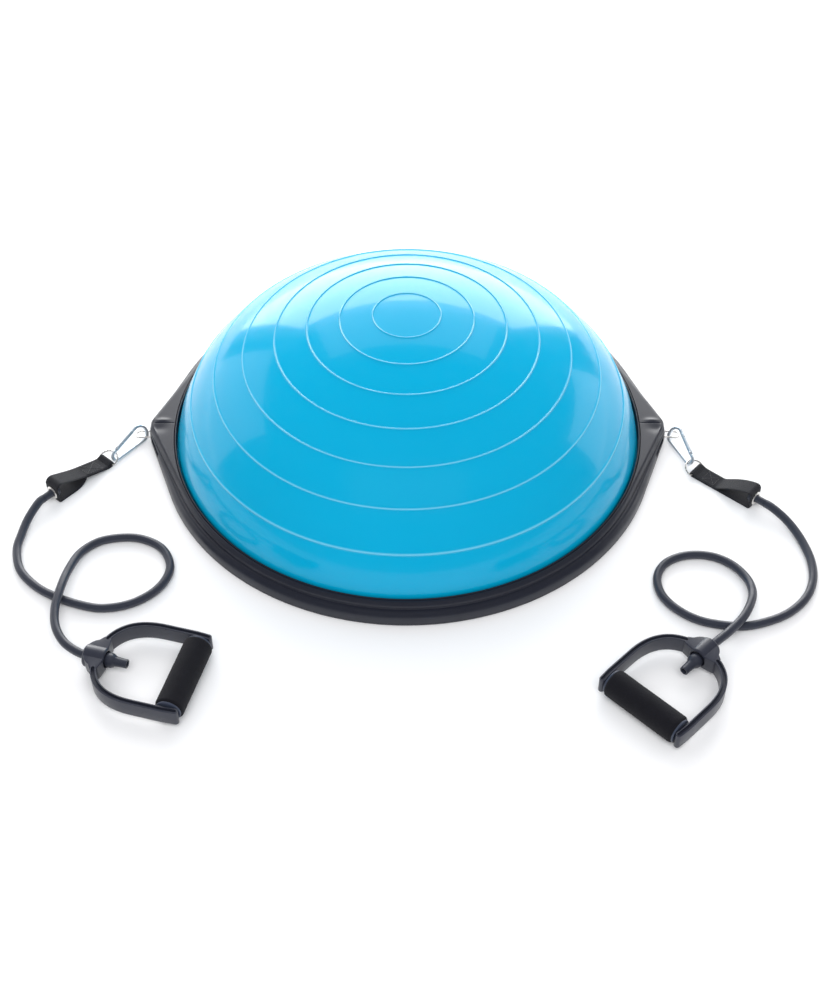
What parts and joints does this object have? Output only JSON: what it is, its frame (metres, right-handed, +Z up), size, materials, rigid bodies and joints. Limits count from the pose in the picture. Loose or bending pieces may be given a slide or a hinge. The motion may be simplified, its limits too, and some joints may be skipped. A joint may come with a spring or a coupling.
{
  "type": "balance_trainer",
  "caption": "Balance dome trainer: an inflated cyan dome on a dark grey platform, with elastic tubes and foam-grip handles hooked to its side lugs",
  "frame": {"origin": "the middle of the centre foot's underside, on the floor", "axes": "+X to the right lug, +Y to the back, +Z up"},
  "size_m": [0.8923, 0.7417, 0.1915],
  "materials": {
    "dome_skin": "glossy",
    "platform_plastic": "satin",
    "foot_rubber": "matte",
    "screw_steel": "satin",
    "valve_plastic": "satin",
    "nickel": "polished",
    "zinc": "satin",
    "webbing": "matte",
    "tube_rubber": "satin",
    "handle_plastic": "satin",
    "core_plastic": "satin",
    "foam": "matte"
  },
  "bodies": {
    "platform": {"base_platform": "platform_plastic", "rim_ring": "platform_plastic", "dome": "dome_skin", "valve_seat": "valve_plastic", "centre_foot": "foot_rubber", "foot_1": "foot_rubber", "foot_2": "foot_rubber", "foot_3": "foot_rubber", "foot_4": "foot_rubber", "foot_5": "foot_rubber", "foot_6": "foot_rubber", "foot_7": "foot_rubber", "foot_8": "foot_rubber", "screw_1": "screw_steel", "screw_2": "screw_steel", "screw_3": "screw_steel", "screw_4": "screw_steel", "screw_5": "screw_steel", "screw_6": "screw_steel", "screw_7": "screw_steel", "screw_8": "screw_steel"},
    "valve_plug": {"valve_plug": "valve_plastic"},
    "left_loop": {"left_anchor_loop": "nickel"},
    "left_hook": {"left_hook_body": "zinc", "left_hook_rivet": "zinc"},
    "left_gate": {"left_hook_gate": "zinc"},
    "left_ring": {"left_strap_ring": "nickel"},
    "left_strap": {"left_strap": "webbing", "left_grommet": "nickel", "left_tube_plug": "tube_rubber", "left_tube": "tube_rubber", "left_tube_end": "tube_rubber", "left_stopper_ball": "tube_rubber"},
    "left_handle": {"left_handle_bow": "handle_plastic"},
    "left_grip": {"left_grip_core": "core_plastic", "left_foam_sleeve": "foam"},
    "right_loop": {"right_anchor_loop": "nickel"},
    "right_hook": {"right_hook_body": "zinc", "right_hook_rivet": "zinc"},
    "right_gate": {"right_hook_gate": "zinc"},
    "right_ring": {"right_strap_ring": "nickel"},
    "right_strap": {"right_strap": "webbing", "right_grommet": "nickel", "right_tube_plug": "tube_rubber", "right_tube": "tube_rubber", "right_tube_end": "tube_rubber", "right_stopper_ball": "tube_rubber"},
    "right_handle": {"right_handle_bow": "handle_plastic"},
    "right_grip": {"right_grip_core": "core_plastic", "right_foam_sleeve": "foam"}
  },
  "joints": [
    {"name": "valve_pull", "type": "slide", "parent": "platform", "child": "valve_plug", "axis": [0, 0, -1], "range_m": [0, 0.014]},
    {"name": "left_loop_lift", "type": "hinge", "parent": "platform", "child": "left_loop", "pos_m": [-0.296, 0, 0.007], "axis": [0, 1, 0], "range_deg": [0, 20]},
    {"name": "left_hook_swing", "type": "hinge", "parent": "left_loop", "child": "left_hook", "pos_m": [-0.312, -0.002, 0.007], "axis": [0, 0, 1], "range_deg": [-24, 1]},
    {"name": "left_gate_open", "type": "hinge", "parent": "left_hook", "child": "left_gate", "pos_m": [-0.34168, -0.03098, 0.01097], "axis": [-0.6357, 0.5255, -0.5655], "range_deg": [0, 20], "stiffness_Nm_per_rad": 0.02, "springref_deg": -11.46},
    {"name": "left_ring_swing", "type": "hinge", "parent": "left_hook", "child": "left_ring", "pos_m": [-0.346, -0.041, 0.0055], "axis": [0, 0, 1], "range_deg": [-25, 1]},
    {"name": "left_strap_fold", "type": "hinge", "parent": "left_ring", "child": "left_strap", "pos_m": [-0.3535, -0.0421, 0.0033], "axis": [-0.7466, 0.6652, 0], "range_deg": [0, 65]},
    {"name": "left_handle_spin", "type": "hinge", "parent": "left_strap", "child": "left_handle", "pos_m": [-0.323, -0.344, 0.0155], "axis": [0.9646, -0.2639, 0], "continuous": true},
    {"name": "left_grip_spin", "type": "hinge", "parent": "left_handle", "child": "left_grip", "pos_m": [-0.22896, -0.36973, 0.0155], "axis": [0.2639, 0.9646, 0], "continuous": true},
    {"name": "right_loop_lift", "type": "hinge", "parent": "platform", "child": "right_loop", "pos_m": [0.296, 0, 0.007], "axis": [0, -1, 0], "range_deg": [0, 20]},
    {"name": "right_hook_swing", "type": "hinge", "parent": "right_loop", "child": "right_hook", "pos_m": [0.312, -0.004, 0.007], "axis": [0, 0, 1], "range_deg": [-1, 24]},
    {"name": "right_gate_open", "type": "hinge", "parent": "right_hook", "child": "right_gate", "pos_m": [0.33265, -0.03875, 0.01202], "axis": [-0.7186, -0.2568, 0.6463], "range_deg": [0, 20], "stiffness_Nm_per_rad": 0.02, "springref_deg": -11.46},
    {"name": "right_ring_swing", "type": "hinge", "parent": "right_hook", "child": "right_ring", "pos_m": [0.334, -0.052, 0.0055], "axis": [0, 0, 1], "range_deg": [-1, 25]},
    {"name": "right_strap_fold", "type": "hinge", "parent": "right_ring", "child": "right_strap", "pos_m": [0.3382, -0.058, 0.0033], "axis": [-0.6561, -0.7547, 0], "range_deg": [0, 65]},
    {"name": "right_handle_spin", "type": "hinge", "parent": "right_strap", "child": "right_handle", "pos_m": [0.3116, -0.3376, 0.0155], "axis": [-0.7034, -0.7108, 0], "continuous": true},
    {"name": "right_grip_spin", "type": "hinge", "parent": "right_handle", "child": "right_grip", "pos_m": [0.24302, -0.4069, 0.0155], "axis": [0.7108, -0.7034, 0], "continuous": true}
  ]
}
